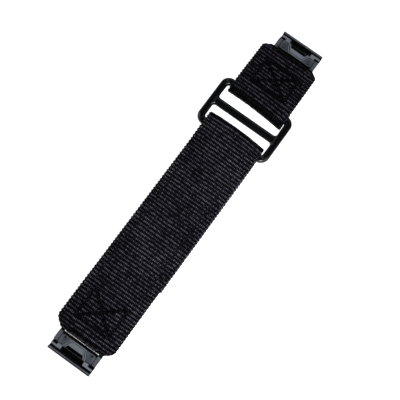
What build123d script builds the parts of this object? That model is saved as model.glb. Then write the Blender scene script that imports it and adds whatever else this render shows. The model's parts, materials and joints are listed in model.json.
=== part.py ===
from build123d import *
import math
import os

# Wrist strap of woven webbing: a long strap and a short strap joined by a three-bar slide buckle,
# with a spring-latch quick-release connector on a cross pin at each end.
# Millimetres. X runs along the strap, Y across it, Z up; the inner (wrist) face is on top.

# Overall
TOTAL_LENGTH = 182.6
HALF = TOTAL_LENGTH / 2

# Webbing
WEB_W = 30.0
WEB_T = 1.3
LAP = 0.05
TONGUE_W = 17.8
EAR_W = 21.2

# Cross pin at a connector, measured from the connector's outer end
PIN_U = 12.35
PIN_Z = 2.65
PIN_R = 0.70
PIN_LENGTH = 21.4
FOLD_IN_R = 1.35
FOLD_OUT_R = FOLD_IN_R + WEB_T
EDGE_U = PIN_U - FOLD_OUT_R
END_TOP_Z = PIN_Z + FOLD_OUT_R - WEB_T / 2
UNDER_Z = WEB_T / 2

# Long strap, along X
LONG_END_X = -57.3
RUN_Z = 4.15
SPLIT_X = 23.5
LONG_FOLD_EDGE_X = 37.6
TAIL_END_X = -44.0
TAIL_SHIFT_Y = -0.4
LONG_CORNER = (14.6, 4.9)

# Short strap, along X
SHORT_FOLD_EDGE_X = 50.0
SHORT_BUTT_X = 68.2
BUTT_GAP = 0.6
UNDER_RISE_X, UNDER_JOIN_X = 56.4, 61.8
SHORT_CORNER = (12.9, 3.2)

# Slide buckle
BUCKLE_X0, BUCKLE_X1 = 29.9, 56.4
BUCKLE_W = 38.9
BUCKLE_BAR = 3.6
BUCKLE_T = 3.0
CENTRE_BAR_X0, CENTRE_BAR_X1 = 41.1, 45.0
BUCKLE_CORNER_R = 4.4
BUCKLE_WINDOW_R = 1.2
BUCKLE_ROUND = 1.25
LOOP_GAP = 2.0
LOOP_R = LOOP_GAP + WEB_T / 2
BAR_Z = WEB_T + LOOP_GAP

# Hook-and-loop tapes and thread
LOOP_TAPE = (-56.4, 18.0, 24.0, 0.9)
HOOK_TAPE = (-43.2, -14.2, 23.0, 0.9)
TAPE_STITCH_INSET = 1.1
THREAD_W = 0.45
THREAD_T = 0.22
SEAT_GAP = 0.02
LONG_BOX = (-73.7, -58.8, 17.4)
SHORT_BOX = (59.9, 73.3, 17.9)

# Sideways play, along Y
STRAP_Y = -0.25
SHORT_Y = -0.25
CONN_Y = -0.45
SHORT_CONN_Y = -0.75
TAPE_Y = 0.55

# Connector body, measured from its outer end
CONN_W = 21.8
NOSE_U1 = 1.15
NOSE_Z1 = 2.9
NOSE_ROUND = 0.5
CHANNEL_U = 2.1
CHANNEL_Z = 1.75
CHANNEL_R = 0.95
SLOT_U0, SLOT_U1 = 3.4, 4.5
SLOT_Z = 1.0
CAVITY_U1 = 5.9
CAVITY_HALF = 5.3
BODY_Z0, BODY_Z1 = 0.5, 3.7
BODY_U1 = 9.3
RAIL_W = 1.75
BED_Z = 2.4
LIP_Z = 3.1
LIP_W = 0.8
LUG_R = 1.05
LUG_ROOT = 0.5
LEDGE_U1, LEDGE_Z1 = 9.95, 1.1
RAIL_SLOPE_U, RAIL_DROP = 7.8, 0.5
POCKET_U0, POCKET_HALF = 4.8, 0.8
COVER_U0, COVER_U1, COVER_HALF = 4.8, 9.1, 9.3

# Latch: sliding plate with its tabs, legs and rimmed finger recess
LATCH_U0, LATCH_U1 = 4.1, 8.5
LATCH_Z0, LATCH_Z1 = 2.5, 3.5
LATCH_GAP = 0.1
LATCH_WAIST_U = 8.0
RIM_Z = 3.75
GROOVE_Z = 3.1
TAB_U0 = 2.2
TAB_Z0, TAB_Z1 = 2.78, 3.1
TAB_Y, TAB_HALF = 6.95, 1.15
WING_U1 = 3.1
WING_Y, WING_HALF = 9.3, 1.25
OUTER_RIM = (6.05, 3.75, 8.45, 0.42)
INNER_RIM = (5.2, 3.2, 7.75, 0.42)
FINGER_HOLE_U = (4.4, 5.6)
RAMP_Z, RAMP_RISE = 3.25, 0.2
FLANGE_U0 = 4.7
LEG_U0, LEG_Z0, LEG_HALF = 4.9, 0.9, 0.7
FRONT_NOTCH_Y, FRONT_NOTCH_HALF = 8.8, 0.7
FRONT_STEP_Y, FRONT_STEP_HALF = 7.2, 1.05
SIDE_LINE_Y, SIDE_GROOVE_HALF, WAIST_HALF = 9.0, 0.2, 0.4
DIMPLE_U, DIMPLE_Y, DIMPLE_R = 7.7, 7.1, 0.45

# Springs and screws
SPRING_Y = 7.0
SPRING_Z = 1.6
SPRING_U0, SPRING_U1 = 5.7, 8.7
SPRING_R = 0.55
SPRING_WIRE = 0.13
SPRING_TURNS = 5
SCREW_U, SCREW_Y = 6.6, 3.6
SCREW_R = 0.60


def block(x0, x1, half_y, z0, z1, y=0.0):
    """A box between two X and two Z stations, centred on y."""
    size = (x1 - x0, 2 * half_y, z1 - z0)
    return Pos((x0 + x1) / 2, y, (z0 + z1) / 2) * Box(*size)


def cross_rod(x, z, radius, length, y=0.0):
    """A cylinder lying across the strap."""
    return Pos(x, y, z) * Rot(90, 0, 0) * Cylinder(radius, length)


def level(x, stations):
    """Height at x on a line easing between (x, z) stations."""
    if x <= stations[0][0]:
        return stations[0][1]
    for (xa, za), (xb, zb) in zip(stations, stations[1:]):
        if x <= xb:
            s = (x - xa) / (xb - xa)
            return za + (zb - za) * s * s * (3 - 2 * s)
    return stations[-1][1]


def run_points(x0, x1, stations, step=0.8):
    """Points along an easing line from x0 to x1, either way."""
    count = max(3, math.ceil(abs(x1 - x0) / step))
    xs = [x0 + (x1 - x0) * i / count for i in range(count + 1)]
    return [(x, level(x, stations)) for x in xs]


def half_fold(x, z, inner_r, width, side):
    """Webbing turned through half a circle about a line across the strap, opening away from side."""
    outer_r = inner_r + WEB_T
    ring = cross_rod(x, z, outer_r, width) - cross_rod(x, z, inner_r, width + 1)
    far = x + side * (outer_r + 1)
    return ring & block(min(x, far), max(x, far), width, z - outer_r - 1, z + outer_r + 1)


def ribbon(points, width, thickness=WEB_T, y=0.0):
    """A band of the given thickness following a line in the XZ plane, its ends cut upright."""
    sides = ([], [])
    last = len(points) - 1
    for i, (x, z) in enumerate(points):
        xa, za = points[max(i - 1, 0)]
        xb, zb = points[min(i + 1, last)]
        run = math.hypot(xb - xa, zb - za)
        nx, nz = -(zb - za) / run * thickness / 2, (xb - xa) / run * thickness / 2
        if i in (0, last):
            nx, nz = 0, thickness / 2 * run / (xb - xa)
        sides[0].append((x + nx, z + nz))
        sides[1].append((x - nx, z - nz))
    near, far = sides
    edges = [Spline(*near), Line(near[-1], far[-1]), Spline(*far[::-1]), Line(far[0], near[0])]
    face = Plane.XZ * make_face(edges)
    return Pos(0, y, 0) * extrude(face, amount=width / 2, both=True)


def end_outline(corner_u, corner_w, inner_u):
    """Outline of the sewn end's top layer, corners trimmed, in connector coordinates."""
    half = WEB_W / 2
    pts = [
        (inner_u, half), (corner_u, half), (EDGE_U + 0.9, EAR_W / 2 + 0.7), (EDGE_U, EAR_W / 2 - 0.5),
        (EDGE_U, 0.5 - EAR_W / 2), (EDGE_U + 0.9, -0.7 - EAR_W / 2), (corner_u, -half), (inner_u, -half),
    ]
    face = make_face(Polyline(*pts, close=True))
    bends = [v for v in face.vertices() if abs(v.X - corner_u) < 0.01]
    return fillet(bends, corner_w)


def sewn_end(corner, top_inner_u, under_inner_u, under_stations, tongue_y):
    """Top layer with trimmed corners, tongue folded round the pin, and the layer sewn beneath."""
    z0, z1 = END_TOP_Z - WEB_T / 2, END_TOP_Z + WEB_T / 2
    top = Pos(0, 0, z0) * extrude(end_outline(*corner, top_inner_u), amount=WEB_T)
    top -= block(EDGE_U - 1, PIN_U, TONGUE_W / 2, z0 - 1, z1 + 1, tongue_y)
    fold = Pos(0, tongue_y, 0) * half_fold(PIN_U, PIN_Z, FOLD_IN_R, TONGUE_W, -1)
    wide_u = PIN_U + 4.6
    rise = ribbon(run_points(PIN_U, wide_u, under_stations), TONGUE_W, y=tongue_y)
    under = ribbon(run_points(wide_u, under_inner_u, under_stations), WEB_W)
    return top + fold + rise + under


def place_long_end(shape, y=0.0):
    return Pos(-HALF, y, 0) * shape


def place_short_end(shape, y=0.0):
    return Pos(HALF, y, 0) * Rot(0, 0, 180) * shape


def long_line():
    """Stations of the long strap's visible layer."""
    high = BAR_Z + LOOP_R
    return [(LONG_END_X, END_TOP_Z), (-50.0, RUN_Z), (18.0, RUN_Z), (29.5, high)]


def short_line():
    """Stations of the short strap's visible layer."""
    return [(57.0, BAR_Z + LOOP_R), (75.5, END_TOP_Z)]


def long_strap_end():
    inner = HALF + LONG_END_X
    stations = [(PIN_U, UNDER_Z), (PIN_U + 5.6, END_TOP_Z - WEB_T + LAP)]
    return place_long_end(sewn_end(LONG_CORNER, inner, inner, stations, CONN_Y))


def long_strap_run():
    return ribbon(run_points(LONG_END_X, SPLIT_X, long_line()), WEB_W)


def long_strap_fold():
    x = LONG_FOLD_EDGE_X - LOOP_GAP - WEB_T
    over = ribbon(run_points(SPLIT_X, x, long_line()), WEB_W)
    under = ribbon(run_points(x, SPLIT_X, [(x, UNDER_Z)]), WEB_W)
    return over + half_fold(x, BAR_Z, LOOP_GAP, WEB_W, 1) + under


def long_strap_tail():
    return ribbon(run_points(SPLIT_X, TAIL_END_X, [(0, UNDER_Z)]), WEB_W, y=TAIL_SHIFT_Y)


def short_strap():
    """One band: round the buckle bar, over the top, round the pin, its ends meeting underneath."""
    x = SHORT_FOLD_EDGE_X + LOOP_GAP + WEB_T
    line = short_line()
    drop = [(px, pz - WEB_T + LAP) for px, pz in line]
    butt = SHORT_BUTT_X - BUTT_GAP / 2
    lift = [(UNDER_RISE_X, UNDER_Z), (UNDER_JOIN_X, level(UNDER_JOIN_X, drop))]
    under = ribbon(run_points(butt, UNDER_JOIN_X, drop) + run_points(UNDER_JOIN_X, x, lift)[1:], WEB_W)
    over = ribbon(run_points(x, HALF - 16.0, line), WEB_W)
    band = under + half_fold(x, BAR_Z, LOOP_GAP, WEB_W, -1) + over
    meet = SHORT_BUTT_X + BUTT_GAP / 2
    rise_end = HALF - PIN_U - 5.6
    stations = [(PIN_U, UNDER_Z), (PIN_U + 5.6, level(rise_end, drop))]
    end = place_short_end(sewn_end(SHORT_CORNER, 16.0, PIN_U + 5.6, stations, SHORT_Y - SHORT_CONN_Y))
    return band + end + ribbon(run_points(rise_end, meet, drop), WEB_W)


def outline_strip(x0, x1, width, stroke):
    """A rectangular line of thread seen from above."""
    outer = Rectangle(x1 - x0, width)
    inner = Rectangle(x1 - x0 - 2 * stroke, width - 2 * stroke)
    return Pos((x0 + x1) / 2, 0) * (outer - inner)


def crossed_strip(x0, x1, width, stroke):
    """A rectangular line of thread with both diagonals."""
    length = math.hypot(x1 - x0 - stroke, width - stroke)
    lean = math.degrees(math.atan2(width - stroke, x1 - x0 - stroke))
    bar = Rectangle(length, stroke)
    cross = Rot(0, 0, lean) * bar + Rot(0, 0, -lean) * bar
    return outline_strip(x0, x1, width, stroke) + Pos((x0 + x1) / 2, 0) * cross


def thread_on(pattern, stations, x0, x1):
    """Thread lying on the webbing's upper face, following its line."""
    rise = (WEB_T + THREAD_T) / 2 + SEAT_GAP
    skin = ribbon([(x, z + rise) for x, z in run_points(x0 - 1, x1 + 1, stations)], WEB_W, THREAD_T)
    return skin & extrude(pattern, amount=20)


def loop_tape():
    x0, x1, width, thickness = LOOP_TAPE
    rise = (WEB_T + thickness) / 2 + SEAT_GAP
    points = [(x, z - rise) for x, z in run_points(x0, x1, long_line())]
    return ribbon(points, width, thickness, TAPE_Y)


def loop_tape_stitching():
    x0, x1, width, _ = LOOP_TAPE
    inset = TAPE_STITCH_INSET
    pattern = Pos(0, TAPE_Y) * outline_strip(x0 + inset, x1 - inset, width - 2 * inset, THREAD_W)
    return thread_on(pattern, long_line(), x0, x1)


def hook_tape():
    x0, x1, width, thickness = HOOK_TAPE
    tape = block(x0, x1, width / 2, WEB_T, WEB_T + thickness, TAIL_SHIFT_Y)
    return fillet(tape.edges().filter_by(Axis.Z), 2.5)


def box_stitching(box, stations):
    x0, x1, width = box
    return thread_on(crossed_strip(x0, x1, width, THREAD_W), stations, x0, x1)


def buckle():
    """Cast frame with two end bars, two side bars and a centre bar."""
    mid = (BUCKLE_X0 + BUCKLE_X1) / 2
    plate = RectangleRounded(BUCKLE_X1 - BUCKLE_X0, BUCKLE_W, BUCKLE_CORNER_R)
    half = BUCKLE_W / 2 - 3.5
    bays = [(BUCKLE_X0 + BUCKLE_BAR, CENTRE_BAR_X0), (CENTRE_BAR_X1, BUCKLE_X1 - BUCKLE_BAR)]
    for x0, x1 in bays:
        plate -= Pos((x0 + x1) / 2 - mid, 0) * RectangleRounded(x1 - x0, 2 * half, BUCKLE_WINDOW_R)
    frame = Pos(mid, 0, BAR_Z) * extrude(plate, amount=BUCKLE_T / 2, both=True)
    rims = [e for e in frame.edges() if abs(abs(e.center().Z - BAR_Z) - BUCKLE_T / 2) < 0.01]
    return fillet(rims, BUCKLE_ROUND)


def connector_body():
    """Nose bar, pin channel, clearance slot, latch bed between side rails, rear ledge and cross-pin lugs."""
    half = CONN_W / 2
    body = block(0, SLOT_U1 + 0.1, half, 0, NOSE_Z1) + block(SLOT_U1, BODY_U1, half, BODY_Z0, BODY_Z1)
    body -= cross_rod(CHANNEL_U, CHANNEL_Z, CHANNEL_R, CONN_W + 1)
    body -= block(NOSE_U1, SLOT_U1, half + 1, CHANNEL_Z, BODY_Z1 + 1)
    body -= block(SLOT_U0, SLOT_U1, half + 1, SLOT_Z, BODY_Z1 + 1)
    body -= block(SLOT_U0, CAVITY_U1, CAVITY_HALF, SLOT_Z, BODY_Z1 + 1)
    body -= block(SLOT_U1 - 1, BODY_U1 + 1, half - RAIL_W, BED_Z, BODY_Z1 + 1)
    body -= block(SLOT_U1 - 1, BODY_U1 + 1, half - LIP_W, BED_Z, LIP_Z)
    for side in (-1, 1):
        body -= block(POCKET_U0, SPRING_U1, POCKET_HALF, BODY_Z0 - 1, BED_Z + 1, side * SPRING_Y)
        body -= Pos(SCREW_U, side * SCREW_Y, 1.2) * Cylinder(SCREW_R + 0.02, 2.0)
        body += connector_lug(side)
    body -= rail_slope()
    body += block(BODY_U1 - 0.1, LEDGE_U1, half - RAIL_W, BODY_Z0, LEDGE_Z1)
    body -= cross_rod(PIN_U, PIN_Z, PIN_R + 0.02, CONN_W + 1)
    cross_edges = body.edges().filter_by(Axis.Y)
    top = [e for e in cross_edges if e.center().X < NOSE_U1 + 0.01 and e.center().Z > NOSE_Z1 - 0.01]
    bottom = [e for e in cross_edges if e.center().X < 0.01 and e.center().Z < 0.01]
    return fillet(top + bottom, NOSE_ROUND)


def rail_slope():
    """Wedge that lowers the rails towards the webbing."""
    low, high, back = BODY_Z1 - RAIL_DROP, BODY_Z1 + 2, BODY_U1 + 1
    face = make_face(Polyline((RAIL_SLOPE_U, BODY_Z1), (BODY_U1, low), (back, low), (back, high),
                              (RAIL_SLOPE_U, high), close=True))
    return extrude(Plane.XZ * face, amount=CONN_W, both=True)


def connector_lug(side):
    """Arm no higher than the latch bed, ending in a round boss about the pin."""
    y = side * (CONN_W - RAIL_W) / 2
    root = BODY_U1 - LUG_ROOT
    arm = make_face(Polyline((root, BODY_Z0), (BODY_U1, BODY_Z0), (PIN_U, PIN_Z - LUG_R),
                             (PIN_U, PIN_Z + LUG_R * 0.7), (BODY_U1, BED_Z), (root, BED_Z), close=True))
    lug = Pos(0, y, 0) * extrude(Plane.XZ * arm, amount=RAIL_W / 2, both=True)
    return lug + cross_rod(PIN_U, PIN_Z, LUG_R, RAIL_W, y)


def trapezoid(front_half, back_half, u1, inset=0.0):
    """Outline open towards the nose, its sides and back moved inwards by inset."""
    u0 = LATCH_U0 - 1
    slope = (front_half - back_half) / (u1 - LATCH_U0)
    side = inset * math.hypot(1, slope)
    back = u1 - inset
    near = front_half - side - slope * (u0 - LATCH_U0)
    far = front_half - side - slope * (back - LATCH_U0)
    return make_face(Polyline((u0, -near), (back, -far), (back, far), (u0, near), close=True))


def recess_rim(front_half, back_half, u1, stroke):
    """Raised line round three sides of the finger recess."""
    line = trapezoid(front_half, back_half, u1) - trapezoid(front_half, back_half, u1, stroke)
    front = block(LATCH_U0, LATCH_U1 + 1, CONN_W, 0, RIM_Z)
    return Pos(0, 0, GROOVE_Z - 0.1) * extrude(line, amount=RIM_Z - GROOVE_Z + 0.1) & front


def recess_inside():
    """Everything above and below the opening of the finger recess."""
    front_half, back_half, u1, stroke = INNER_RIM
    return extrude(trapezoid(front_half, back_half, u1, stroke), amount=RIM_Z + 1)


def finger_ramp():
    """Slope rising from the finger hole towards the webbing."""
    u0, u1 = FINGER_HOLE_U[1], INNER_RIM[2] - INNER_RIM[3]
    top = RAMP_Z + RAMP_RISE
    profile = make_face(Polyline((u0, LATCH_Z0), (u1, LATCH_Z0), (u1, top), (u0, RAMP_Z), close=True))
    return recess_inside() & extrude(Plane.XZ * profile, amount=CONN_W, both=True)


def latch():
    """Sliding plate: side flanges, two winged tabs over the channel, spring legs, rimmed finger recess."""
    half = CONN_W / 2 - RAIL_W - LATCH_GAP
    top = LATCH_Z1 + 1
    plate = block(LATCH_U0, LATCH_U1, half, LATCH_Z0, LATCH_Z1)
    plate += block(FLANGE_U0, LATCH_WAIST_U, CONN_W / 2 - LIP_W - LATCH_GAP, LATCH_Z0, LIP_Z - LATCH_GAP)
    groove = trapezoid(*OUTER_RIM[:3], inset=-0.25)
    plate -= Pos(0, 0, GROOVE_Z) * extrude(groove, amount=2)
    plate += recess_rim(*OUTER_RIM) + recess_rim(*INNER_RIM) + finger_ramp()
    for side in (-1, 1):
        plate += block(TAB_U0, LATCH_U0 + 0.5, TAB_HALF, TAB_Z0, TAB_Z1, side * TAB_Y)
        plate += block(TAB_U0, WING_U1, WING_HALF, TAB_Z0, TAB_Z1, side * WING_Y)
        plate += block(LEG_U0, SPRING_U0, LEG_HALF, LEG_Z0, LATCH_Z0 + 0.2, side * SPRING_Y)
        plate -= block(LATCH_U0 - 1, SLOT_U1, FRONT_NOTCH_HALF, LATCH_Z0 - 1, top, side * FRONT_NOTCH_Y)
        plate -= block(LATCH_U0 - 0.5, SLOT_U1, FRONT_STEP_HALF, TAB_Z1, top, side * FRONT_STEP_Y)
        plate -= block(LATCH_U0, LATCH_U1 + 1, SIDE_GROOVE_HALF, LIP_Z, top, side * SIDE_LINE_Y)
        plate -= block(LATCH_WAIST_U, LATCH_U1 + 1, WAIST_HALF, LATCH_Z0 - 1, top, side * SIDE_LINE_Y)
        plate -= Pos(DIMPLE_U, side * DIMPLE_Y, LATCH_Z1) * Cylinder(DIMPLE_R, 1.0)
    return plate - (recess_inside() & block(*FINGER_HOLE_U, CONN_W, 0, RIM_Z + 1))


def cover_plate():
    """Thin plate under the connector that closes the spring pockets."""
    plate = block(COVER_U0, COVER_U1, COVER_HALF, 0.0, BODY_Z0)
    plate = fillet(plate.edges().filter_by(Axis.Z), 0.8)
    for side in (-1, 1):
        plate -= Pos(SCREW_U, side * SCREW_Y, 0.25) * Cylinder(SCREW_R + 0.05, 1)
        plate -= Pos(SCREW_U, side * SCREW_Y, 0.1) * Cylinder(1.15, 0.36)
    return plate


def cover_screw(side):
    """Small countersunk screw with a driver slot."""
    screw = Pos(0, 0, 0.15) * Cylinder(1.08, 0.22) + Pos(0, 0, 1.15) * Cylinder(SCREW_R, 1.9)
    screw -= Pos(0, 0, 0.04) * Box(1.5, 0.3, 0.16)
    return Pos(SCREW_U, side * SCREW_Y, 0) * screw


def latch_spring(side):
    """Coil spring lying along X between a latch leg and the rear wall."""
    length = SPRING_U1 - SPRING_U0 - 0.3
    line = Helix(length / SPRING_TURNS, length, SPRING_R)
    ring = Plane(origin=line @ 0, z_dir=line % 0) * Circle(SPRING_WIRE)
    coil = sweep(ring, path=line, is_frenet=True)
    return Pos(SPRING_U0 + 0.15, side * SPRING_Y, SPRING_Z) * Rot(0, 90, 0) * coil


def connector_parts():
    parts = {
        "connector_body": connector_body(),
        "connector_latch": latch(),
        "connector_cover": cover_plate(),
        "connector_screws": Compound([cover_screw(-1), cover_screw(1)]),
        "strap_pin": cross_rod(PIN_U, PIN_Z, PIN_R, PIN_LENGTH),
        "spring_left": latch_spring(1),
        "spring_right": latch_spring(-1),
    }
    return parts


def build():
    parts = {
        "long_strap_end": long_strap_end(),
        "long_strap_run": long_strap_run(),
        "long_strap_fold": long_strap_fold(),
        "long_strap_tail": long_strap_tail(),
        "short_strap": Pos(0, SHORT_Y, 0) * short_strap(),
        "loop_tape": loop_tape(),
        "hook_tape": hook_tape(),
        "loop_tape_stitching": loop_tape_stitching(),
        "long_box_stitching": box_stitching(LONG_BOX, [(0, END_TOP_Z)]),
        "short_box_stitching": Pos(0, SHORT_Y, 0) * box_stitching(SHORT_BOX, short_line()),
    }
    for name, shape in connector_parts().items():
        parts["long_end_" + name] = place_long_end(shape, CONN_Y)
        parts["short_end_" + name] = place_short_end(shape, SHORT_CONN_Y)
    parts = {name: Pos(0, STRAP_Y, 0) * shape for name, shape in parts.items()}
    parts["buckle"] = buckle()
    return parts


os.makedirs("parts", exist_ok=True)
for name, shape in build().items():
    export_step(shape, "parts/" + name + ".step")
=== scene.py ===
import bpy
import json
import math
import numpy as np
from mathutils import Matrix, Vector

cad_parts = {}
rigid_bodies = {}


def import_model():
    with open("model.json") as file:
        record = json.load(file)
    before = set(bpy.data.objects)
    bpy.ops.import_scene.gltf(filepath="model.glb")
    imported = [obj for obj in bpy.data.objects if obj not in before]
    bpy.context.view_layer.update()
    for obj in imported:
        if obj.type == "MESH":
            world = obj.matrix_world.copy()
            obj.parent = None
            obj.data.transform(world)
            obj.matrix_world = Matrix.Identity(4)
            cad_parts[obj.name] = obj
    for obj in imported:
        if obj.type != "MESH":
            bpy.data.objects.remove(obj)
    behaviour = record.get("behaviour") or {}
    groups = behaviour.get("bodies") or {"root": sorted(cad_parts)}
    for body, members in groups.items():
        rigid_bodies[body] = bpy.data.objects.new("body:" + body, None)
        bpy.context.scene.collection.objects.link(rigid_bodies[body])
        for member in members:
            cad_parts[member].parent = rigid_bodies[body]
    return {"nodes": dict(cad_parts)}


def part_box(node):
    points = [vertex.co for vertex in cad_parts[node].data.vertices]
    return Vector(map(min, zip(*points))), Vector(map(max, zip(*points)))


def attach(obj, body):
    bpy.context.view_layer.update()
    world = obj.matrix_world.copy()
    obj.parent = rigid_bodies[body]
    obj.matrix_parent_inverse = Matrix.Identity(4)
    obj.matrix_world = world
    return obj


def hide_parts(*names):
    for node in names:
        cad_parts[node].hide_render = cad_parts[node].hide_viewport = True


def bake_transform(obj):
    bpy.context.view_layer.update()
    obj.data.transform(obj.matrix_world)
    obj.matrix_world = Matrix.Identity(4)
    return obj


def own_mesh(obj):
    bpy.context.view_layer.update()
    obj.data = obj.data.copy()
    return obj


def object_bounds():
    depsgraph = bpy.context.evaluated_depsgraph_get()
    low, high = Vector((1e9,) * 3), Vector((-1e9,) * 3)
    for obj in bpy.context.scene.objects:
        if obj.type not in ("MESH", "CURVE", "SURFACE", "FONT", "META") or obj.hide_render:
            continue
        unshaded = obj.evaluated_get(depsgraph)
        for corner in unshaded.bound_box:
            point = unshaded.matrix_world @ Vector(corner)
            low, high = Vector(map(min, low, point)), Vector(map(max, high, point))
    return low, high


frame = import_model()
cad_low, cad_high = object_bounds()
MM = 0.001

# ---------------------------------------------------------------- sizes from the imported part, in mm


def span(node):
    """Lowest and highest corner of a CAD node."""
    low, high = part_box(node)
    return np.array(low) / MM, np.array(high) / MM


def middle(node):
    low, high = span(node)
    return (low + high) / 2


END_LO = span("long_strap_end")[0]
RUN_LO, RUN_HI = span("long_strap_run")
FOLD_HI = span("long_strap_fold")[1]
TAIL_LO, TAIL_HI = span("long_strap_tail")
SHORT_LO, SHORT_HI = span("short_strap")
LONG_BOX = span("long_box_stitching")
SHORT_BOX = span("short_box_stitching")
TAPE_BOX = span("loop_tape_stitching")
LOOP_BOX = span("loop_tape")
HOOK_BOX = span("hook_tape")
LONG_PIN = middle("long_end_strap_pin")
SHORT_PIN = middle("short_end_strap_pin")

T = TAIL_HI[2] - TAIL_LO[2]
HALF_W = (RUN_HI[1] - RUN_LO[1]) / 2
LONG_Y = (RUN_HI[1] + RUN_LO[1]) / 2
TAIL_Y = (TAIL_HI[1] + TAIL_LO[1]) / 2
SHORT_Y = (SHORT_HI[1] + SHORT_LO[1]) / 2
TONGUE_HALF = 8.9
TOP_Z = 2 * LONG_PIN[2]
PIN_BEND_R = LONG_PIN[2] - T / 2
RUN_TOP = RUN_LO[2] + T
LOOP_TOP = FOLD_HI[2]
LOOP_OUT_R = LOOP_TOP / 2
LOOP_BEND_R = LOOP_OUT_R - T / 2
LAP = 0.05

# ---------------------------------------------------------------- weave

RIBS_ON_RUN = 48
YARN = 0.77
STEPS_PER_RIB = 7
STEPS_PER_YARN = 4
CREST, GROOVE = 0.15, -0.36
BEAD_LONG, BEAD_WIDE = 0.48, 0.51
BEAD_SQUARE, BEAD_ROUND = 2.2, 0.7
SLACK = 0.78
UNEVEN = 0.05
SCALLOP_FAR, SCALLOP_NEAR = 0.27, 0.15
EAR_BLEND = 1.0
EAR_INSET = 0.05
LIP_OUT, LIP_LOW, LIP_FADE, LIP_HIGH = 1.3, 0.46, 0.15, 0.65
HOLD_IN, SHORT_HOLD_IN, HOLD_FULL, HOLD_FADE = 0.22, 0.34, 0.5, 0.4
BOW_FULL, BOW_FADE = 4.5, 7.0
TONGUE_REACH, TONGUE_FLARE = 6.4, 1.6
TUCK = 0.2
LONG_CORNER = (10.7, 4.9, 1.7)
SHORT_CORNER = (11.3, 3.6, 2.2)
EDGE_PULL, CROSS_PULL, TAPE_PULL = 0.24, 0.42, 0.12
STITCH_REACH = 0.55
# Painted shade on the woven face where the webbing turns over: where it begins, how soft it is, how dark it
# is.
TURN_START, TURN_FADE, TURN_SHADE = 0.80, 0.19, 0.5
STITCH_ARCH, STITCH_SINK = 0.22, 0.34
LOOP_THICK = 0.75
HOOK_BASE = 0.35
HOOK_ROOT, HOOK_TALL = 0.05, 0.55


def hash01(a, b=0.0):
    v = np.sin(np.asarray(a) * 12.9898 + np.asarray(b) * 78.233 + 3.7) * 43758.5453
    return v - np.floor(v)


def smooth_noise(x, y):
    """Repeatable value noise between -1 and 1."""
    xi, yi = np.floor(x), np.floor(y)
    fx, fy = x - xi, y - yi
    fx, fy = fx * fx * (3 - 2 * fx), fy * fy * (3 - 2 * fy)
    a, b = hash01(xi, yi), hash01(xi + 1, yi)
    c, d = hash01(xi, yi + 1), hash01(xi + 1, yi + 1)
    return 2 * ((a * (1 - fx) + b * fx) * (1 - fy) + (c * (1 - fx) + d * fx) * fy) - 1


def smooth_step(t):
    t = np.clip(t, 0, 1)
    return t * t * (3 - 2 * t)


def bead(u, v, row):
    """One row of warp floats, 0 in the grooves and 1 on their crests."""
    a = np.abs(u - row - 0.5) / BEAD_LONG
    k = v - 0.5 * np.mod(row, 2)
    b = (k - np.round(k)) / BEAD_WIDE
    return np.clip(1 - a ** BEAD_SQUARE - b ** 2, 0, 1) ** BEAD_ROUND


def weave(u, v):
    """Relief of the woven face at rib number u and yarn number v."""
    row = np.floor(u)
    near = row + np.where(u - row > 0.5, 1, -1)
    relief = np.maximum(bead(u, v, row), bead(u, v, near))
    tension = SLACK + (1 - SLACK) * hash01(row, np.round(v - 0.5 * np.mod(row, 2)))
    return relief * tension


def rib_only(u):
    f = np.abs(2 * (u - np.floor(u)) - 1)
    return np.sqrt(np.clip(1 - f ** 2.4, 0, 1)) * 0.9


def wander(u, y):
    """How far a rib strays along the strap, in mm."""
    drift = 0.16 * smooth_noise(u / 5.3, y / 7.0) + 0.09 * smooth_noise(u / 1.7 + 40, y / 2.6)
    return drift + 0.10 * smooth_noise(u * 1.1, y / 0.8)


# ---------------------------------------------------------------- centre lines


def ease(x, stations):
    """Height on a line easing between (x, z) stations."""
    x = np.asarray(x, float)
    out = np.full(x.shape, float(stations[0][1]))
    for (xa, za), (xb, zb) in zip(stations, stations[1:]):
        out = np.where(x > xa, za + (zb - za) * smooth_step((x - xa) / (xb - xa)), out)
    return out


def line(x0, x1, stations):
    xs = np.linspace(x0, x1, max(4, int(abs(x1 - x0) / 0.1)))
    return np.stack([xs, ease(xs, stations)], 1)


def arc(x, z, r, a0, a1):
    a = np.radians(np.linspace(a0, a1, max(6, int(abs(math.radians(a1 - a0)) * r / 0.1))))
    return np.stack([x + r * np.cos(a), z + r * np.sin(a)], 1)


class Path:
    """A line in the XZ plane with its outer normal, looked up by distance along it."""

    def __init__(self, pieces, zero_x=None):
        p = np.concatenate(pieces)
        keep = np.concatenate([[True], np.linalg.norm(np.diff(p, axis=0), axis=1) > 1e-6])
        p = p[keep]
        t = np.gradient(p, axis=0)
        t /= np.linalg.norm(t, axis=1)[:, None]
        self.p = p
        self.n = np.stack([-t[:, 1], t[:, 0]], 1)
        self.s = np.concatenate([[0], np.cumsum(np.linalg.norm(np.diff(p, axis=0), axis=1))])
        if zero_x is not None:
            self.s = self.s - self.where(zero_x, last=True)

    def where(self, x, last=False):
        """Distance along at which the line first, or last, crosses x."""
        side = np.sign(self.p[:, 0] - x)
        crossing = np.nonzero(side[1:] * side[:-1] <= 0)[0]
        i = crossing[-1 if last else 0]
        xa, xb = self.p[i, 0], self.p[i + 1, 0]
        return self.s[i] + (self.s[i + 1] - self.s[i]) * (x - xa) / (xb - xa)

    def at(self, s):
        point = np.stack([np.interp(s, self.s, self.p[:, i]) for i in (0, 1)], -1)
        normal = np.stack([np.interp(s, self.s, self.n[:, i]) for i in (0, 1)], -1)
        return point, normal / np.linalg.norm(normal, axis=-1)[..., None]


# Lengths along X over which the straps' top layers rise or fall, and where those slopes begin.
END_SLOPE = 7.3
LOOP_SLOPE = 11.5
BAR_FLAT = 7.0
PIN_FLAT = 6.1
LIFT_START = 6.4
JOIN_REACH = 11.8
BUTT_REACH = 13.4

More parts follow.
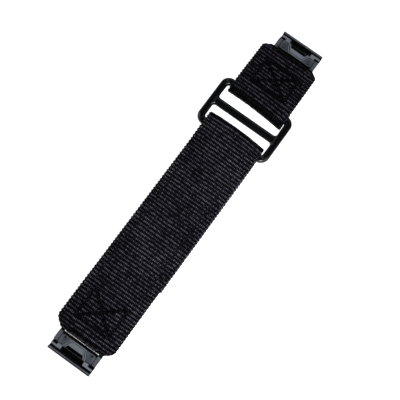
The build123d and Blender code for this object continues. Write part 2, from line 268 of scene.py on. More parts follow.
LONG_LINE = [(RUN_LO[0], TOP_Z - T / 2), (RUN_LO[0] + END_SLOPE, RUN_TOP - T / 2),
             (LOOP_BOX[1][0], RUN_TOP - T / 2), (LOOP_BOX[1][0] + LOOP_SLOPE, LOOP_TOP - T / 2)]
SHORT_LINE = [(SHORT_LO[0] + BAR_FLAT, LOOP_TOP - T / 2), (SHORT_HI[0] - PIN_FLAT, TOP_Z - T / 2)]
DROP_LINE = [(x, z - T + LAP) for x, z in SHORT_LINE]
PX, PZ = LONG_PIN[0], LONG_PIN[2]
SX, SZ = SHORT_PIN[0], SHORT_PIN[2]
FX = FOLD_HI[0] - LOOP_OUT_R
BX = SHORT_LO[0] + LOOP_OUT_R
BUTT_X = SHORT_HI[0] - BUTT_REACH
BUTT_HALF_GAP = 0.3
UNDER_REACH = 5.6
JOIN_X = SHORT_LO[0] + JOIN_REACH
LONG_RISE = [(PX, T / 2), (PX + UNDER_REACH, TOP_Z - 1.5 * T + LAP)]
SHORT_LIFT = [(SHORT_LO[0] + LIFT_START, T / 2), (JOIN_X, float(ease(JOIN_X, DROP_LINE)))]
SHORT_RISE = [(SX - UNDER_REACH, float(ease(SX - UNDER_REACH, DROP_LINE))), (SX, T / 2)]

# The long strap from the layer under its sewn end, round the pin, along the top, round the buckle's
# bar and back.
long_path = Path([line(RUN_LO[0], PX, LONG_RISE), arc(PX, PZ, PIN_BEND_R, 270, 90),
                  line(PX, FX, LONG_LINE), arc(FX, LOOP_OUT_R, LOOP_BEND_R, 90, -90),
                  line(FX, TAIL_LO[0] - 1, [(0, T / 2)])], RUN_LO[0])

# The short strap from its butt, under the buckle's bar, along the top, round the pin and back to the butt.
short_path = Path([line(BUTT_X - BUTT_HALF_GAP, JOIN_X, DROP_LINE), line(JOIN_X, BX, SHORT_LIFT),
                   arc(BX, LOOP_OUT_R, LOOP_BEND_R, -90, -270), line(BX, SX, SHORT_LINE),
                   arc(SX, SZ, PIN_BEND_R, 90, -90), line(SX, SX - UNDER_REACH, SHORT_RISE),
                   line(SX - UNDER_REACH, BUTT_X + BUTT_HALF_GAP, DROP_LINE)])
RIB = long_path.where(RUN_HI[0]) / RIBS_ON_RUN

# ---------------------------------------------------------------- meshes


def new_mesh(name, verts, faces, uv=None, painted_light=None):
    """A smooth-shaded mesh from points in mm and arrays of faces, each array with its own corner count."""
    faces = [np.asarray(f, np.int32) for f in faces]
    corners = np.concatenate([f.ravel() for f in faces])
    sizes = np.concatenate([np.full(len(f), f.shape[1], np.int32) for f in faces])
    mesh = bpy.data.meshes.new(name)
    mesh.vertices.add(len(verts))
    mesh.vertices.foreach_set("co", (np.asarray(verts) * MM).astype(np.float32).ravel())
    mesh.loops.add(len(corners))
    mesh.loops.foreach_set("vertex_index", corners)
    mesh.polygons.add(len(sizes))
    mesh.polygons.foreach_set("loop_start", np.concatenate([[0], np.cumsum(sizes)[:-1]]).astype(np.int32))
    mesh.update(calc_edges=True)
    if uv is not None:
        mesh.uv_layers.new(name="weave").data.foreach_set("uv", np.asarray(uv, np.float32)[corners].ravel())
    # Share of painted light per point for the webbing material: 1 is a painted highlight on the crests, 0 is
    # painted shade in the grooves, at stitch dents and at turns.
    if painted_light is not None:
        layer = mesh.attributes.new("painted_light", "FLOAT", "POINT")
        layer.data.foreach_set("value", np.asarray(painted_light, np.float32))
    mesh.polygons.foreach_set("use_smooth", np.ones(len(sizes), bool))
    mesh.validate()
    obj = bpy.data.objects.new(name, mesh)
    bpy.context.scene.collection.objects.link(obj)
    return obj


def joined(name, *objs):
    """Several meshes as one piece."""
    for other in bpy.context.scene.objects:
        other.select_set(other in objs)
    bpy.context.view_layer.objects.active = objs[0]
    bpy.ops.object.join()
    objs[0].name = name
    return objs[0]


def tube_faces(rows, ring):
    """Faces of a closed tube of equal rings: its sides, then its two ends."""
    i, k = np.meshgrid(np.arange(rows - 1), np.arange(ring), indexing="ij")
    k2 = (k + 1) % ring
    sides = np.stack([i * ring + k, (i + 1) * ring + k, (i + 1) * ring + k2, i * ring + k2], 2).reshape(-1, 4)
    near = np.arange(ring)[None, :]
    return [sides, near, near[:, ::-1] + (rows - 1) * ring]


def webbing_section(widest):
    """Once round the section: place across from -1 to 1, share of the selvedge's bulge, share of height."""
    columns = 4 * int(round(2 * widest / YARN * STEPS_PER_YARN / 4)) + 1
    outer = np.linspace(-1, 1, columns)
    inner = outer[::-1][::4]
    turn = np.radians(np.linspace(90, -90, 8))[1:-1]
    edge = np.ones(len(turn))
    across = np.concatenate([outer, edge, inner, -edge])
    bulge = np.concatenate([0 * outer, np.cos(turn), 0 * inner, -np.cos(turn)])
    height = np.concatenate([0 * outer + 1, np.sin(turn), 0 * inner - 1, np.sin(turn[::-1])])
    return across[None, :], bulge[None, :], height[None, :]


def stitch_pull(x, y, lines):
    """How far stitches pull the face down, in mm. Each line is ((x, y), (x, y), depth)."""
    pull = np.zeros(np.broadcast(x, y).shape)
    for (xa, ya), (xb, yb), depth in lines:
        dx, dy = xb - xa, yb - ya
        t = np.clip(((x - xa) * dx + (y - ya) * dy) / (dx * dx + dy * dy), 0, 1)
        d = np.hypot(x - xa - t * dx, y - ya - t * dy)
        pull = np.maximum(pull, depth * np.exp(-(d / STITCH_REACH) ** 2))
    return pull


def band(name, path, s0, s1, half, centre, lines=(), ears=None, shift=None, shaded=0.0):
    """Webbing along a path from s0 to s1: woven outer face, ribbed inner one, scalloped selvedges.

    half and centre give its half-width and middle at each distance along. ears is (path, y, reach):
    further than reach from y the webbing follows that other path. shift moves it along X at a distance
    and a y. shaded is how far painted shade darkens the outer face where the webbing turns over.
    """
    u0, u1 = s0 / RIB, s1 / RIB
    u = np.arange(math.ceil(u0 * STEPS_PER_RIB), math.floor(u1 * STEPS_PER_RIB) + 1) / STEPS_PER_RIB
    u = np.concatenate([[u0], u[(u > u0 + 0.03) & (u < u1 - 0.03)], [u1]])[:, None]
    wide, mid = half(u * RIB), centre(u * RIB)
    across, bulge, height = webbing_section(wide.max())
    y = mid + across * (wide - T / 2) + bulge * T / 2
    v = (y - mid) / YARN
    uu = u + 0 * y
    relief = np.where(height > 0, weave(uu, v), rib_only(uu + 0.5))
    along = uu * RIB + wander(uu, y)
    p, n = path.at(along)
    if ears is not None:
        ear_path, ear_y, reach = ears
        share = smooth_step((np.abs(y - ear_y) - reach) / EAR_BLEND)[..., None]
        ear_p, ear_n = ear_path(along)
        p, n = p + (ear_p - p) * share, n + (ear_n - n) * share
        n /= np.linalg.norm(n, axis=-1)[..., None]
    if shift is not None:
        p = p + np.stack([shift(uu * RIB, y), 0 * y], -1)
    rise = GROOVE + (CREST - GROOVE) * relief + UNEVEN * smooth_noise(uu / 4.1, y / 3.3)
    pull = np.where(height > 0, stitch_pull(p[..., 0], y, lines), 0)
    rise = rise - pull
    out = height * (T / 2 + rise * np.abs(height))
    scallop = np.where(across > 0, SCALLOP_FAR, SCALLOP_NEAR)
    selvedge = scallop * (1 - np.abs(height)) * -np.cos(2 * math.pi * uu)
    y = y + np.sign(across) * selvedge
    verts = np.stack([p[..., 0] + n[..., 0] * out, y, p[..., 1] + n[..., 1] * out], -1)
    faces = tube_faces(*y.shape)
    # Painted light on the woven face: the relief gives a painted highlight on the crests, with painted shade
    # along the stitch dents and, by shaded, where the webbing turns over.
    turned = 1 - smooth_step((n[..., 1] - TURN_START) / TURN_FADE)
    painted_light = relief * (1 - smooth_step(pull / CROSS_PULL)) * (1 - shaded * turned)
    return new_mesh(name, verts.reshape(-1, 3), faces, np.stack([uu, v], -1).reshape(-1, 2), painted_light.ravel())


def steady(value):
    return lambda s: value + 0 * s


def trimmed(edge_x, x_at, corner):
    """Half-width near a sewn end whose corners are trimmed: (half at the edge, depth, roundness)."""
    start, depth, power = corner

    def half(s):
        t = np.clip(np.abs(x_at(s) - edge_x) / depth, 0, 1)
        return start + (HALF_W - start) * (1 - (1 - t) ** power)

    return half


def ear_line(path, s_front, s_top, front_x, pin_x):
    """The path beside the tongue, where the top layer runs on flat over the connector's lugs."""

    def at(s):
        p, n = path.at(s)
        share = (s - s_front) / (s_top - s_front)
        on_bend = (share >= 0) & (share <= 1)
        x = np.where(on_bend, front_x + (pin_x - front_x) * share, p[..., 0])
        z = np.where(on_bend, TOP_Z - T / 2, p[..., 1])
        flat_n = np.where(on_bend[..., None], np.array([0.0, 1.0]), n)
        return np.stack([x, z], -1), flat_n

    return at


def lip(s_front, s_top, pin_y, outward, inward):
    """The roll of webbing at the pin: pushed out above the latch, held in clear of it lower down."""

    def shift(s, y):
        share = (s - s_front) / (s_top - s_front)
        past_top = smooth_step((share - LIP_HIGH) / (1 - LIP_HIGH))
        swell = smooth_step((share - LIP_LOW) / LIP_FADE) * (1 - past_top)
        behind_latch = 1 - smooth_step((np.abs(share) - HOLD_FULL) / HOLD_FADE)
        between_lugs = smooth_step((TONGUE_HALF - 1 - np.abs(y - pin_y)) / 1.5)
        return outward * swell * between_lugs + inward * behind_latch

    return shift


def fold_bow(s_bend, middle_y, rise, bow, skew):
    """The fold round a buckle bar, a little curved and askew across its width."""

    def shift(s, y):
        t = (y - middle_y) / HALF_W
        near = 1 - smooth_step((np.abs(s - s_bend) - BOW_FULL) / BOW_FADE)
        return near * (rise + bow * t * t + skew * t)

    return shift


def tongue(pin_y, strap_y, edge_x, path):
    """Half-width and middle of the layer beneath a sewn end, which narrows to pass between the lugs."""

    def share(s):
        x = path.at(s)[0][..., 0]
        return smooth_step((np.abs(x - edge_x) - TONGUE_REACH) / TONGUE_FLARE)

    def half(s):
        return TONGUE_HALF + (HALF_W - TUCK - TONGUE_HALF) * share(s)

    def centre(s):
        return pin_y + (strap_y - pin_y) * share(s)

    return half, centre


def crossed_box(box, edge_pull, cross_pull):
    """Stitch lines of a box with both diagonals."""
    (x0, y0, _), (x1, y1, _) = box
    c = [(x0, y0), (x1, y0), (x1, y1), (x0, y1)]
    edges = [(c[i], c[(i + 1) % 4], edge_pull) for i in range(4)]
    return edges + [(c[0], c[2], cross_pull), (c[1], c[3], cross_pull)]


# ---------------------------------------------------------------- long strap

(TX0, TY0, _), (TX1, TY1, _) = TAPE_BOX
tape_lines = [((TX0, TY0), (TX1, TY0), TAPE_PULL), ((TX0, TY1), (TX1, TY1), TAPE_PULL)]
long_box_lines = crossed_box(LONG_BOX, EDGE_PULL, CROSS_PULL)

s_front = float(long_path.s[np.argmin(long_path.p[:, 0])])
s_top = long_path.where(PX, last=True)
long_ears = ear_line(long_path, s_front, s_top, END_LO[0] + EAR_INSET, PX)
long_roll = lip(s_front, s_top, LONG_PIN[1], outward=-LIP_OUT, inward=HOLD_IN)
long_half = trimmed(END_LO[0], lambda s: long_ears(s)[0][..., 0], LONG_CORNER)
low_half, low_centre = tongue(LONG_PIN[1], LONG_Y, END_LO[0], long_path)
end_top = band("end_top", long_path, s_front, 0, long_half, steady(LONG_Y), long_box_lines + tape_lines,
               (long_ears, LONG_PIN[1], TONGUE_HALF - EAR_BLEND), long_roll)
end_low = band("end_low", long_path, long_path.s[0], s_front, low_half, low_centre, shift=long_roll)
long_end = joined("long_webbing_end", end_top, end_low)

s_run = long_path.where(RUN_HI[0])
long_run = band("long_webbing_run", long_path, 0, s_run, steady(HALF_W), steady(LONG_Y), tape_lines)

s_tail = long_path.where(TAIL_HI[0], last=True)
s_cut = long_path.where(TAIL_LO[0], last=True)


def fold_centre(s):
    return LONG_Y + (TAIL_Y - LONG_Y) * smooth_step((s - s_run) / (s_tail - s_run) * 2 - 1)


long_bend = float(long_path.s[np.argmax(long_path.p[:, 0])])
long_fold = band("long_webbing_fold", long_path, s_run, s_tail, steady(HALF_W), fold_centre,
                 shift=fold_bow(long_bend, LONG_Y, rise=0.15, bow=-0.72, skew=0.27), shaded=TURN_SHADE)
long_tail = band("long_webbing_tail", long_path, s_tail, s_cut, steady(HALF_W), steady(TAIL_Y))

# ---------------------------------------------------------------- short strap

short_box_lines = crossed_box(SHORT_BOX, EDGE_PULL, CROSS_PULL)
tip = int(np.argmax(short_path.p[:, 0]))
s_tip = float(short_path.s[tip])
s_over = float(np.interp(-SX, -short_path.p[:tip][::-1, 0], short_path.s[:tip][::-1]))
short_ears = ear_line(short_path, s_tip, s_over, SHORT_HI[0] - EAR_INSET, SX)
short_half = trimmed(SHORT_HI[0], lambda s: short_ears(s)[0][..., 0], SHORT_CORNER)
back_half, back_centre = tongue(SHORT_PIN[1], SHORT_Y, SHORT_HI[0], short_path)
short_bend = float(short_path.s[np.argmin(short_path.p[:, 0])])
short_roll = lip(s_tip, s_over, SHORT_PIN[1], outward=0.0, inward=-SHORT_HOLD_IN)
short_bow = fold_bow(short_bend, SHORT_Y, rise=0.0, bow=-0.65, skew=0.65)
short_main = band("short_main", short_path, 0, s_tip, short_half, steady(SHORT_Y), short_box_lines,
                  (short_ears, SHORT_PIN[1], TONGUE_HALF - EAR_BLEND),
                  lambda s, y: short_bow(s, y) + short_roll(s, y), TURN_SHADE)
short_back = band("short_back", short_path, s_tip, short_path.s[-1], back_half, back_centre, shift=short_roll)
short_web = joined("short_webbing", short_main, short_back)

# ---------------------------------------------------------------- thread


def swept(points, radii, sides, first):
    """Vertices and faces of a thin round tube through points; first is the next free vertex number."""
    points = np.asarray(points)
    heading = np.gradient(points, axis=0)
    side = np.stack([-heading[:, 1], heading[:, 0], 0 * heading[:, 0]], 1)
    side /= np.maximum(np.linalg.norm(side, axis=1), 1e-9)[:, None]
    upward = np.cross(heading, side)
    upward /= np.linalg.norm(upward, axis=1)[:, None]
    t = np.linspace(0, 2 * math.pi, sides, endpoint=False)
    rings = side[:, None, :] * np.cos(t)[None, :, None] + upward[:, None, :] * np.sin(t)[None, :, None]
    verts = points[:, None, :] + rings * np.asarray(radii)[:, None, None]
    faces = tube_faces(len(points), sides)
    return verts.reshape(-1, 3), [f + first for f in faces]


def gathered(name, tubes):
    """One mesh from many small tubes, each (points, radii, sides)."""
    verts, groups, first = [], {}, 0
    for points, radii, sides in tubes:
        v, faces = swept(points, radii, sides, first)
        first += len(v)
        verts.append(v)
        for f in faces:
            groups.setdefault(f.shape[1], []).append(f)
    return new_mesh(name, np.concatenate(verts), [np.concatenate(g) for g in groups.values()])


def stitches(name, lines, top, pitch=3.0, radius=0.17):
    """Separate stitches along lines, each dipping into the webbing at both ends."""
    tubes = []
    f = np.linspace(0, 1, 8)
    for (xa, ya), (xb, yb), pull in lines:
        count = max(2, int(round(math.hypot(xb - xa, yb - ya) / pitch)))
        for j in range(count):
            share = (j + 0.06 + 0.88 * f) / count
            x = xa + (xb - xa) * share
            arch = STITCH_ARCH * np.sin(math.pi * f) ** 0.5 - STITCH_SINK
            points = np.stack([x, ya + (yb - ya) * share, top(x) - pull + arch], 1)
            tubes.append((points, radius * (0.8 + 0.2 * np.sin(math.pi * f)), 6))
    return gathered(name, tubes)


long_thread = stitches("long_box_thread", long_box_lines, lambda x: ease(x, LONG_LINE) + T / 2)
short_thread = stitches("short_box_thread", short_box_lines, lambda x: ease(x, SHORT_LINE) + T / 2)
tape_thread = stitches("tape_thread", tape_lines, lambda x: ease(x, LONG_LINE) + T / 2, pitch=2.8)

# ---------------------------------------------------------------- hook and loop tapes


def tape(name, box, base, face, nap, cell):
    """A strip of tape between two heights, rough on the second one."""
    (x0, y0, _), (x1, y1, _) = box
    nx, ny = int((x1 - x0) / cell), int((y1 - y0) / cell)
    x, y = np.meshgrid(np.linspace(x0, x1, nx), np.linspace(y0, y1, ny), indexing="ij")
    rim = np.minimum.reduce([x - x0, x1 - x, y - y0, y1 - y])
    soft = np.sqrt(np.clip(rim / 0.5, 0, 1))
    pile = nap * (smooth_noise(x / 0.5, y / 0.5) + 0.6 * smooth_noise(x / 1.3 + 9, y / 1.3))
    rough = base(x) + (face(x) - base(x)) * (0.35 + 0.65 * soft) + pile * soft
    verts = np.concatenate([np.stack([x, y, z], 2).reshape(-1, 3) for z in (base(x) + 0 * y, rough)])
    i, k = np.meshgrid(np.arange(nx - 1), np.arange(ny - 1), indexing="ij")
    a = (i * ny + k).ravel()
    plain = np.stack([a, a + ny, a + ny + 1, a + 1], 1)
    border = [j * ny for j in range(nx)] + [(nx - 1) * ny + j for j in range(1, ny)]
    border += [j * ny + ny - 1 for j in range(nx - 2, -1, -1)] + list(range(ny - 2, 0, -1))
    one = np.array(border)
    two = np.roll(one, -1)
    rim_faces = np.stack([one, one + nx * ny, two + nx * ny, two], 1)
    faces = np.concatenate([plain, plain[:, ::-1] + nx * ny, rim_faces])
    if face(x0) > base(x0):
        faces = faces[:, ::-1]
    return new_mesh(name, verts, [faces])


loop_piece = tape("loop_pile", LOOP_BOX, lambda x: ease(x, LONG_LINE) - T / 2,
                  lambda x: ease(x, LONG_LINE) - T / 2 - LOOP_THICK, nap=0.05, cell=0.35)
hook_base = tape("hook_base", HOOK_BOX, lambda x: T + 0 * x, lambda x: T + HOOK_BASE + 0 * x,
                 nap=0.01, cell=0.8)


def hooks(name, box, z0, height, pitch=1.25):
    """Small stiff hooks in staggered rows."""
    (x0, y0, _), (x1, y1, _) = box
    tubes = []
    out = np.array([0.0, 0.0, 0.12, 0.34, 0.36])
    rise = np.array([0.0, 0.6, 0.95, 0.9, 0.6]) * height
    for i in range(int((x1 - x0 - 2) / pitch)):
        for k in range(int((y1 - y0 - 2) / pitch)):
            x = x0 + 1 + (i + 0.5) * pitch
            y = y0 + 1 + (k + 0.5 + 0.5 * (i % 2)) * pitch
            lean = 2 * math.pi * float(hash01(i, k))
            reach = out + np.linspace(0, 0.01, 5)
            points = np.stack([x + reach * math.cos(lean), y + reach * math.sin(lean), z0 + rise], 1)
            tubes.append((points, np.full(5, 0.07), 5))
    return gathered(name, tubes)


hook_pile = hooks("hook_pile", HOOK_BOX, T + HOOK_BASE - HOOK_ROOT, HOOK_TALL)
hook_piece = joined("hook_strip", hook_base, hook_pile)

# ---------------------------------------------------------------- latch springs

WIRE = 0.13
SPRING_TURNS = 5
STEPS_PER_TURN = 24
WIRE_SIDES = 8


def coil(name, node):
    """A coil spring along X that fills the CAD node's box."""
    low, high = span(node)
    centre = (low + high) / 2
    t = np.linspace(0, 2 * math.pi * SPRING_TURNS, SPRING_TURNS * STEPS_PER_TURN + 1)
    x = np.linspace(low[0] + WIRE, high[0] - WIRE, len(t))
    outward = np.stack([0 * t, np.cos(t), np.sin(t)], 1)
    axis_line = np.stack([x, 0 * x + centre[1], 0 * x + centre[2]], 1)
    points = outward * ((high[2] - low[2]) / 2 - WIRE) + axis_line
    heading = np.gradient(points, axis=0)
    across = np.cross(heading, outward)
    across /= np.linalg.norm(across, axis=1)[:, None]
    a = np.linspace(0, 2 * math.pi, WIRE_SIDES, endpoint=False)[None, :, None]
    verts = points[:, None] + WIRE * (outward[:, None] * np.cos(a) + across[:, None] * np.sin(a))
    return new_mesh(name, verts.reshape(-1, 3), tube_faces(len(t), WIRE_SIDES))


springs = {node: coil(node.replace("_spring", "_coil"), node)
           for node in frame["nodes"] if "_spring_" in node}

# ---------------------------------------------------------------- materials


class Look:
    """A node material being put together."""

    def __init__(self, name):
        self.material = bpy.data.materials.new(name)
        self.material.use_nodes = True
        self.nodes = self.material.node_tree.nodes
        self.links = self.material.node_tree.links
        self.shader = self.nodes["Principled BSDF"]

    def put(self, value, socket):
        if isinstance(value, bpy.types.NodeSocket):
            self.links.new(value, socket)
        else:
            socket.default_value = value

    def maths(self, operation, *values):
        node = self.nodes.new("ShaderNodeMath")
        node.operation = operation
        for value, socket in zip(values, node.inputs):
            self.put(value, socket)
        return node.outputs[0]

    def noise(self, scale, detail=2.0, rough=0.5, vector=None):
        node = self.nodes.new("ShaderNodeTexNoise")
        node.inputs["Scale"].default_value = scale
        node.inputs["Detail"].default_value = detail
        node.inputs["Roughness"].default_value = rough
        if vector is None:
            vector = self.nodes.new("ShaderNodeTexCoord").outputs["Object"]
        self.links.new(vector, node.inputs["Vector"])
        return node.outputs["Fac"]

    def ramp(self, value, *stops):
        node = self.nodes.new("ShaderNodeValToRGB")
        elements = node.color_ramp.elements
        while len(elements) < len(stops):
            elements.new(0.5)
        for element, (position, colour) in zip(elements, stops):
            element.position = position
            element.color = (*colour, 1)
        self.links.new(value, node.inputs[0])
        return node.outputs[0]

    def mix(self, share, a, b):
        node = self.nodes.new("ShaderNodeMix")
        node.data_type = "RGBA"
        self.put(share, node.inputs["Factor"])
        self.put(a, node.inputs["A"])
        self.put(b, node.inputs["B"])
        return node.outputs["Result"]

    def bump(self, height, distance, strength):
        node = self.nodes.new("ShaderNodeBump")
        node.inputs["Strength"].default_value = strength
        node.inputs["Distance"].default_value = distance
        self.links.new(height, node.inputs["Height"])
        self.links.new(node.outputs["Normal"], self.shader.inputs["Normal"])

    def set(self, **values):
        for name, value in values.items():
            self.put(value, self.shader.inputs[name.replace("_", " ")])


def webbing_look():
    """Relief is in the mesh; this adds filaments along each float, the black dye with a painted highlight on
    the crests and painted shade in the grooves, lint and unevenness.
    """
    look = Look("woven_webbing")
    # Painted light per point from the mesh: a painted highlight on the crests, painted shade in the grooves,
    # along stitch dents and where the webbing turns over.
    painted_light = look.nodes.new("ShaderNodeAttribute")
    painted_light.attribute_name = "painted_light"
    painted_light = painted_light.outputs["Fac"]
    weave_map = look.nodes.new("ShaderNodeUVMap")
    weave_map.uv_map = "weave"
    split = look.nodes.new("ShaderNodeSeparateXYZ")
    look.links.new(weave_map.outputs[0], split.inputs[0])
    along = look.nodes.new("ShaderNodeCombineXYZ")
    look.put(look.maths("MULTIPLY", split.outputs[0], 1.4), along.inputs[0])
    look.put(look.maths("MULTIPLY", split.outputs[1], 7.0), along.inputs[1])
    filament = look.noise(1.0, 1.0, 0.5, along.outputs[0])
    broad = look.noise(75, 3)
    level = look.maths("ADD", look.maths("MULTIPLY", painted_light, look.maths("MULTIPLY_ADD", filament, 0.4, 0.48)),
                       look.maths("MULTIPLY_ADD", broad, 0.16, -0.08))
    # Painted light in the dye ramp: painted shade in the grooves, the black dye between, a painted highlight
    # on the crests.
    dye = look.ramp(level, (0.24, GROOVE_DYE_AND_SHADE), (0.48, MID_DYE), (0.84, CREST_DYE_AND_HIGHLIGHT))
    lint = look.maths("GREATER_THAN", look.noise(2300, 0), 0.775)
    colour = look.mix(look.maths("MULTIPLY", lint, 0.45), dye, (*LINT, 1))
    look.bump(filament, 0.00006, 0.55)
    look.set(Base_Color=colour, Roughness=look.maths("MULTIPLY_ADD", broad, 0.2, 0.42),
             Specular_IOR_Level=0.02, Sheen_Weight=0.005, Sheen_Roughness=0.4, Sheen_Tint=(0.8, 0.8, 1.0, 1))
    return look.material


def fibre_look(name, dark, light, scale, rough, sheen, gloss=0.08):
    """Thread or pile: short fibres, uneven dye."""
    look = Look(name)
    fibre = look.noise(scale, 3)
    look.bump(fibre, 0.0001, 0.6)
    look.set(Base_Color=look.ramp(fibre, (0.3, dark), (0.75, light)), Roughness=rough, Sheen_Weight=sheen,
             Specular_IOR_Level=gloss)
    return look.material


def height_share(look, z_low, z_high):
    """0 below one height in mm and 1 above another, soft between them; and the point's x."""
    position = look.nodes.new("ShaderNodeSeparateXYZ")
    look.links.new(look.nodes.new("ShaderNodeTexCoord").outputs["Object"], position.inputs[0])
    share = look.nodes.new("ShaderNodeMapRange")
    share.interpolation_type = "SMOOTHSTEP"
    look.put(position.outputs[2], share.inputs["Value"])
    look.put(z_low * MM, share.inputs["From Min"])
    look.put(z_high * MM, share.inputs["From Max"])
    return share.outputs[0], position.outputs[0]


def coated_look(name, dark, light, rough, metallic, wear, pale_colour, grain_scale=1400, gloss=0.5,
                shade_below=None, paler_above=None, paler_below=None, unshaded_front=0.0, shaded_nose=0.0):
    """Satin coating over cast metal: fine grain, faint blotches, paler worn edges.

    shade_below, paler_above and paler_below are pairs of heights in mm, each the start and end of a soft
    change:
    black painted shade below shade_below, paler above paler_above and below paler_below. Within
    unshaded_front of either end of the whole strap no painted shade is drawn, and within shaded_nose of its
    low-X end everything is black painted shade.
    """
    look = Look(name)
    blotch = look.noise(170, 4, 0.6)
    grain = look.noise(grain_scale, 2)
    edge = look.ramp(look.nodes.new("ShaderNodeNewGeometry").outputs["Pointiness"],
                     (0.52, (0, 0, 0)), (0.60, (1, 1, 1)))
    rubbed = look.maths("MULTIPLY", edge, look.maths("MULTIPLY", blotch, 2 * wear))
    base = look.ramp(blotch, (0.35, dark), (0.7, light))
    # Paler coating above one height and below another.
    if paler_above:
        base = look.mix(height_share(look, *paler_above)[0], base, (*pale_colour, 1))
    if paler_below:
        base = look.mix(height_share(look, *paler_below)[0], (*pale_colour, 1), base)
    # Painted shade: black below the shade heights, standing in for shade in the connectors' recesses and
    # channels, left off near either end of the strap.
    if shade_below:
        unshaded, x = height_share(look, *shade_below)
        if unshaded_front:
            edge_x = cad_high[0] - unshaded_front * MM
            at_end = look.maths("GREATER_THAN", look.maths("ABSOLUTE", x), edge_x)
            unshaded = look.maths("MAXIMUM", unshaded, at_end)
        # Painted shade on the long connector's front face: all black within this depth of the low-X end.
        if shaded_nose:
            past_nose = look.maths("GREATER_THAN", x, cad_low[0] + shaded_nose * MM)
            unshaded = look.maths("MULTIPLY", unshaded, past_nose)
        base = look.mix(unshaded, (*RECESS_SHADE_BLACK, 1), base)
        rubbed = look.maths("MULTIPLY", rubbed, unshaded)
    look.bump(grain, 0.00004, 0.35)
    look.set(Base_Color=look.mix(rubbed, base, (*pale_colour, 1)), Metallic=metallic,
             Specular_IOR_Level=gloss, Roughness=look.maths("MULTIPLY_ADD", grain, 0.2, rough - 0.1))
    return look.material


# Webbing colours: near-black painted shade for the grooves, the black dye, and a pale painted highlight for
# the crests.
GROOVE_DYE_AND_SHADE = (0.0004, 0.0004, 0.0008)
MID_DYE = (0.0125, 0.0120, 0.0175)
CREST_DYE_AND_HIGHLIGHT = (0.31, 0.300, 0.38)
LINT = (0.15, 0.15, 0.165)
# Black of the painted shade in the connectors' recesses and on the long end's nose.
RECESS_SHADE_BLACK = (0.0006, 0.0006, 0.0009)

# Heights and depths in mm at which the connectors' coating changes, and where black painted shade begins.
BODY_SHADE_BELOW = (2.6, 2.8)
# Depth at the long end's nose that is painted shade.
BODY_NOSE_SHADE = 0.45
LATCH_SHADE_BELOW = (3.14, 3.22)
LATCH_LOW = (3.46, 3.49)
LATCH_TOP = (3.6, 3.7)
LATCH_NOSE = 4.15

WEB = webbing_look()
THREAD = fibre_look("thread_black", (0.001, 0.001, 0.0015), (0.008, 0.008, 0.011), 3000, 0.4, 0.0, 0.06)
LOOP = fibre_look("loop_pile_black", (0.004, 0.004, 0.005), (0.045, 0.045, 0.05), 2200, 0.85, 0.3)
HOOK = fibre_look("hook_pile_black", (0.006, 0.006, 0.007), (0.03, 0.03, 0.032), 1500, 0.4, 0.0)
BUCKLE = coated_look("buckle_satin_black", (0.0015, 0.0019, 0.0025), (0.003, 0.0039, 0.0052), 0.14, 0.05, 0.3,
                     (0.05, 0.055, 0.065), gloss=0.5)
BODY = coated_look("connector_coating", (0.060, 0.068, 0.080), (0.090, 0.101, 0.117), 0.38, 0.35, 0.4,
                   (0.20, 0.22, 0.245), gloss=0.15, shade_below=BODY_SHADE_BELOW, shaded_nose=BODY_NOSE_SHADE)
LATCH = coated_look("latch_coating", (0.040, 0.047, 0.058), (0.068, 0.079, 0.095), 0.38, 0.35, 0.3,
                    (0.24, 0.265, 0.305), gloss=0.15, shade_below=LATCH_SHADE_BELOW, paler_above=LATCH_TOP,
                    paler_below=LATCH_LOW, unshaded_front=LATCH_NOSE)
STEEL = coated_look("dark_steel", (0.09, 0.092, 0.10), (0.15, 0.153, 0.165), 0.3, 1.0, 0.2,
                    (0.3, 0.3, 0.32), 3000)

# ---------------------------------------------------------------- pieces onto their bodies


def wear_look(obj, look):
    obj.data.materials.clear()
    obj.data.materials.append(look)


def ride_on(obj, body, replaced, look):
    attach(obj, body)
    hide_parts(replaced)
    wear_look(obj, look)


ride_on(long_end, "long_strap", "long_strap_end", WEB)
ride_on(long_fold, "fold", "long_strap_fold", WEB)
ride_on(short_web, "short_strap_body", "short_strap", WEB)
ride_on(long_thread, "long_strap", "long_box_stitching", THREAD)
ride_on(tape_thread, "long_strap", "loop_tape_stitching", THREAD)
ride_on(short_thread, "short_strap_body", "short_box_stitching", THREAD)
ride_on(loop_piece, "long_strap", "loop_tape", LOOP)
ride_on(hook_piece, "tail", "hook_tape", HOOK)

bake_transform(long_run)
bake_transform(long_tail)
for piece, node in ((long_run, "long_strap_run"), (long_tail, "long_strap_tail")):
    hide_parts(node)
    wear_look(piece, WEB)

for node, piece in springs.items():
    end = node.split("_")[0]
    ride_on(piece, end + "_connector", node, STEEL)
    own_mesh(piece)


for name, node in frame["nodes"].items():
    if node.hide_render:
        continue
    if name == "buckle":
        wear_look(node, BUCKLE)
    elif name.endswith("latch"):
        wear_look(node, LATCH)
    elif name.endswith(("body", "cover")):
        wear_look(node, BODY)
    else:
        wear_look(node, STEEL)

# ---------------------------------------------------------------- stage, light and camera

FLOOR_HALF = 3.0
FLOOR_DROP = 0.0006
floor_mesh = bpy.data.meshes.new("floor")
corners = [(-FLOOR_HALF, -FLOOR_HALF, 0), (FLOOR_HALF, -FLOOR_HALF, 0),
           (FLOOR_HALF, FLOOR_HALF, 0), (-FLOOR_HALF, FLOOR_HALF, 0)]
floor_mesh.from_pydata(corners, [], [(0, 1, 2, 3)])
floor = bpy.data.objects.new("floor", floor_mesh)
floor.location.z = cad_low[2] - FLOOR_DROP
bpy.context.scene.collection.objects.link(floor)
paper = Look("pale_floor")
paper.set(Base_Color=(0.95, 0.95, 0.95, 1), Roughness=0.9, Emission_Color=(1, 1, 1, 1), Emission_Strength=1.0)
floor_mesh.materials.append(paper.material)

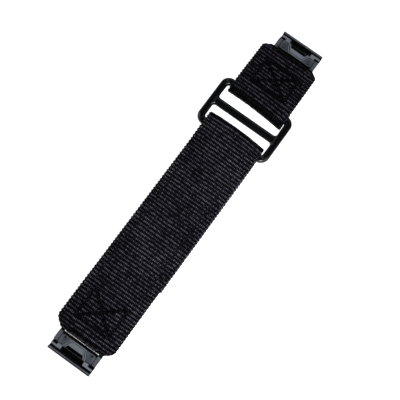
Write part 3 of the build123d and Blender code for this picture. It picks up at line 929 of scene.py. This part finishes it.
world = bpy.data.worlds.new("studio")
bpy.context.scene.world = world
world.use_nodes = True
world.node_tree.nodes["Background"].inputs[0].default_value = (1, 1, 1, 1)
world.node_tree.nodes["Background"].inputs[1].default_value = 0.03


def softbox(name, side, height, distance, size, power):
    """A square area light on the side facing the object: compass side and height in degrees."""
    light = bpy.data.lights.new(name, "AREA")
    light.shape = "SQUARE"
    light.size = size
    light.energy = power
    obj = bpy.data.objects.new(name, light)
    bpy.context.scene.collection.objects.link(obj)
    a, e = math.radians(side), math.radians(height)
    obj.location = (distance * math.cos(e) * math.cos(a), distance * math.cos(e) * math.sin(a),
                    distance * math.sin(e))
    obj.rotation_euler = Vector(obj.location).to_track_quat("Z", "Y").to_euler()


softbox("left", 200, 60, 0.75, 0.40, 0.15)
softbox("front", 276, 50, 0.75, 0.40, 1.45)
softbox("right", 10, 45, 0.80, 0.40, 0.35)
softbox("back", 92, 50, 0.80, 0.40, 1.0)
softbox("near", 248, 55, 0.14, 0.05, 0.16)

CAMERA_DISTANCE = 0.4598
CAMERA_TILT = math.radians(15.23)
CAMERA_SIDE = math.radians(196.15)
CAMERA_ROLL = math.radians(35.22)
CAMERA_LENS = 92.55
CAMERA_SENSOR = 36
CAMERA_AIM = Vector((0.00017, -0.00521, 0.003))

toward = Vector((math.sin(CAMERA_TILT) * math.cos(CAMERA_SIDE), math.sin(CAMERA_TILT) * math.sin(CAMERA_SIDE),
                 math.cos(CAMERA_TILT)))
right = (-toward).cross(Vector((math.cos(CAMERA_ROLL), math.sin(CAMERA_ROLL), 0))).normalized()
upward = right.cross(-toward)
camera_data = bpy.data.cameras.new("camera")
camera_data.lens = CAMERA_LENS
camera_data.sensor_width = CAMERA_SENSOR
camera_data.clip_start = 0.01
camera = bpy.data.objects.new("camera", camera_data)
bpy.context.scene.collection.objects.link(camera)
turn = Matrix((right, upward, toward)).transposed().to_4x4()
camera.matrix_world = Matrix.Translation(CAMERA_AIM + CAMERA_DISTANCE * toward) @ turn
bpy.context.scene.camera = camera
bpy.context.scene.view_settings.view_transform = "Standard"
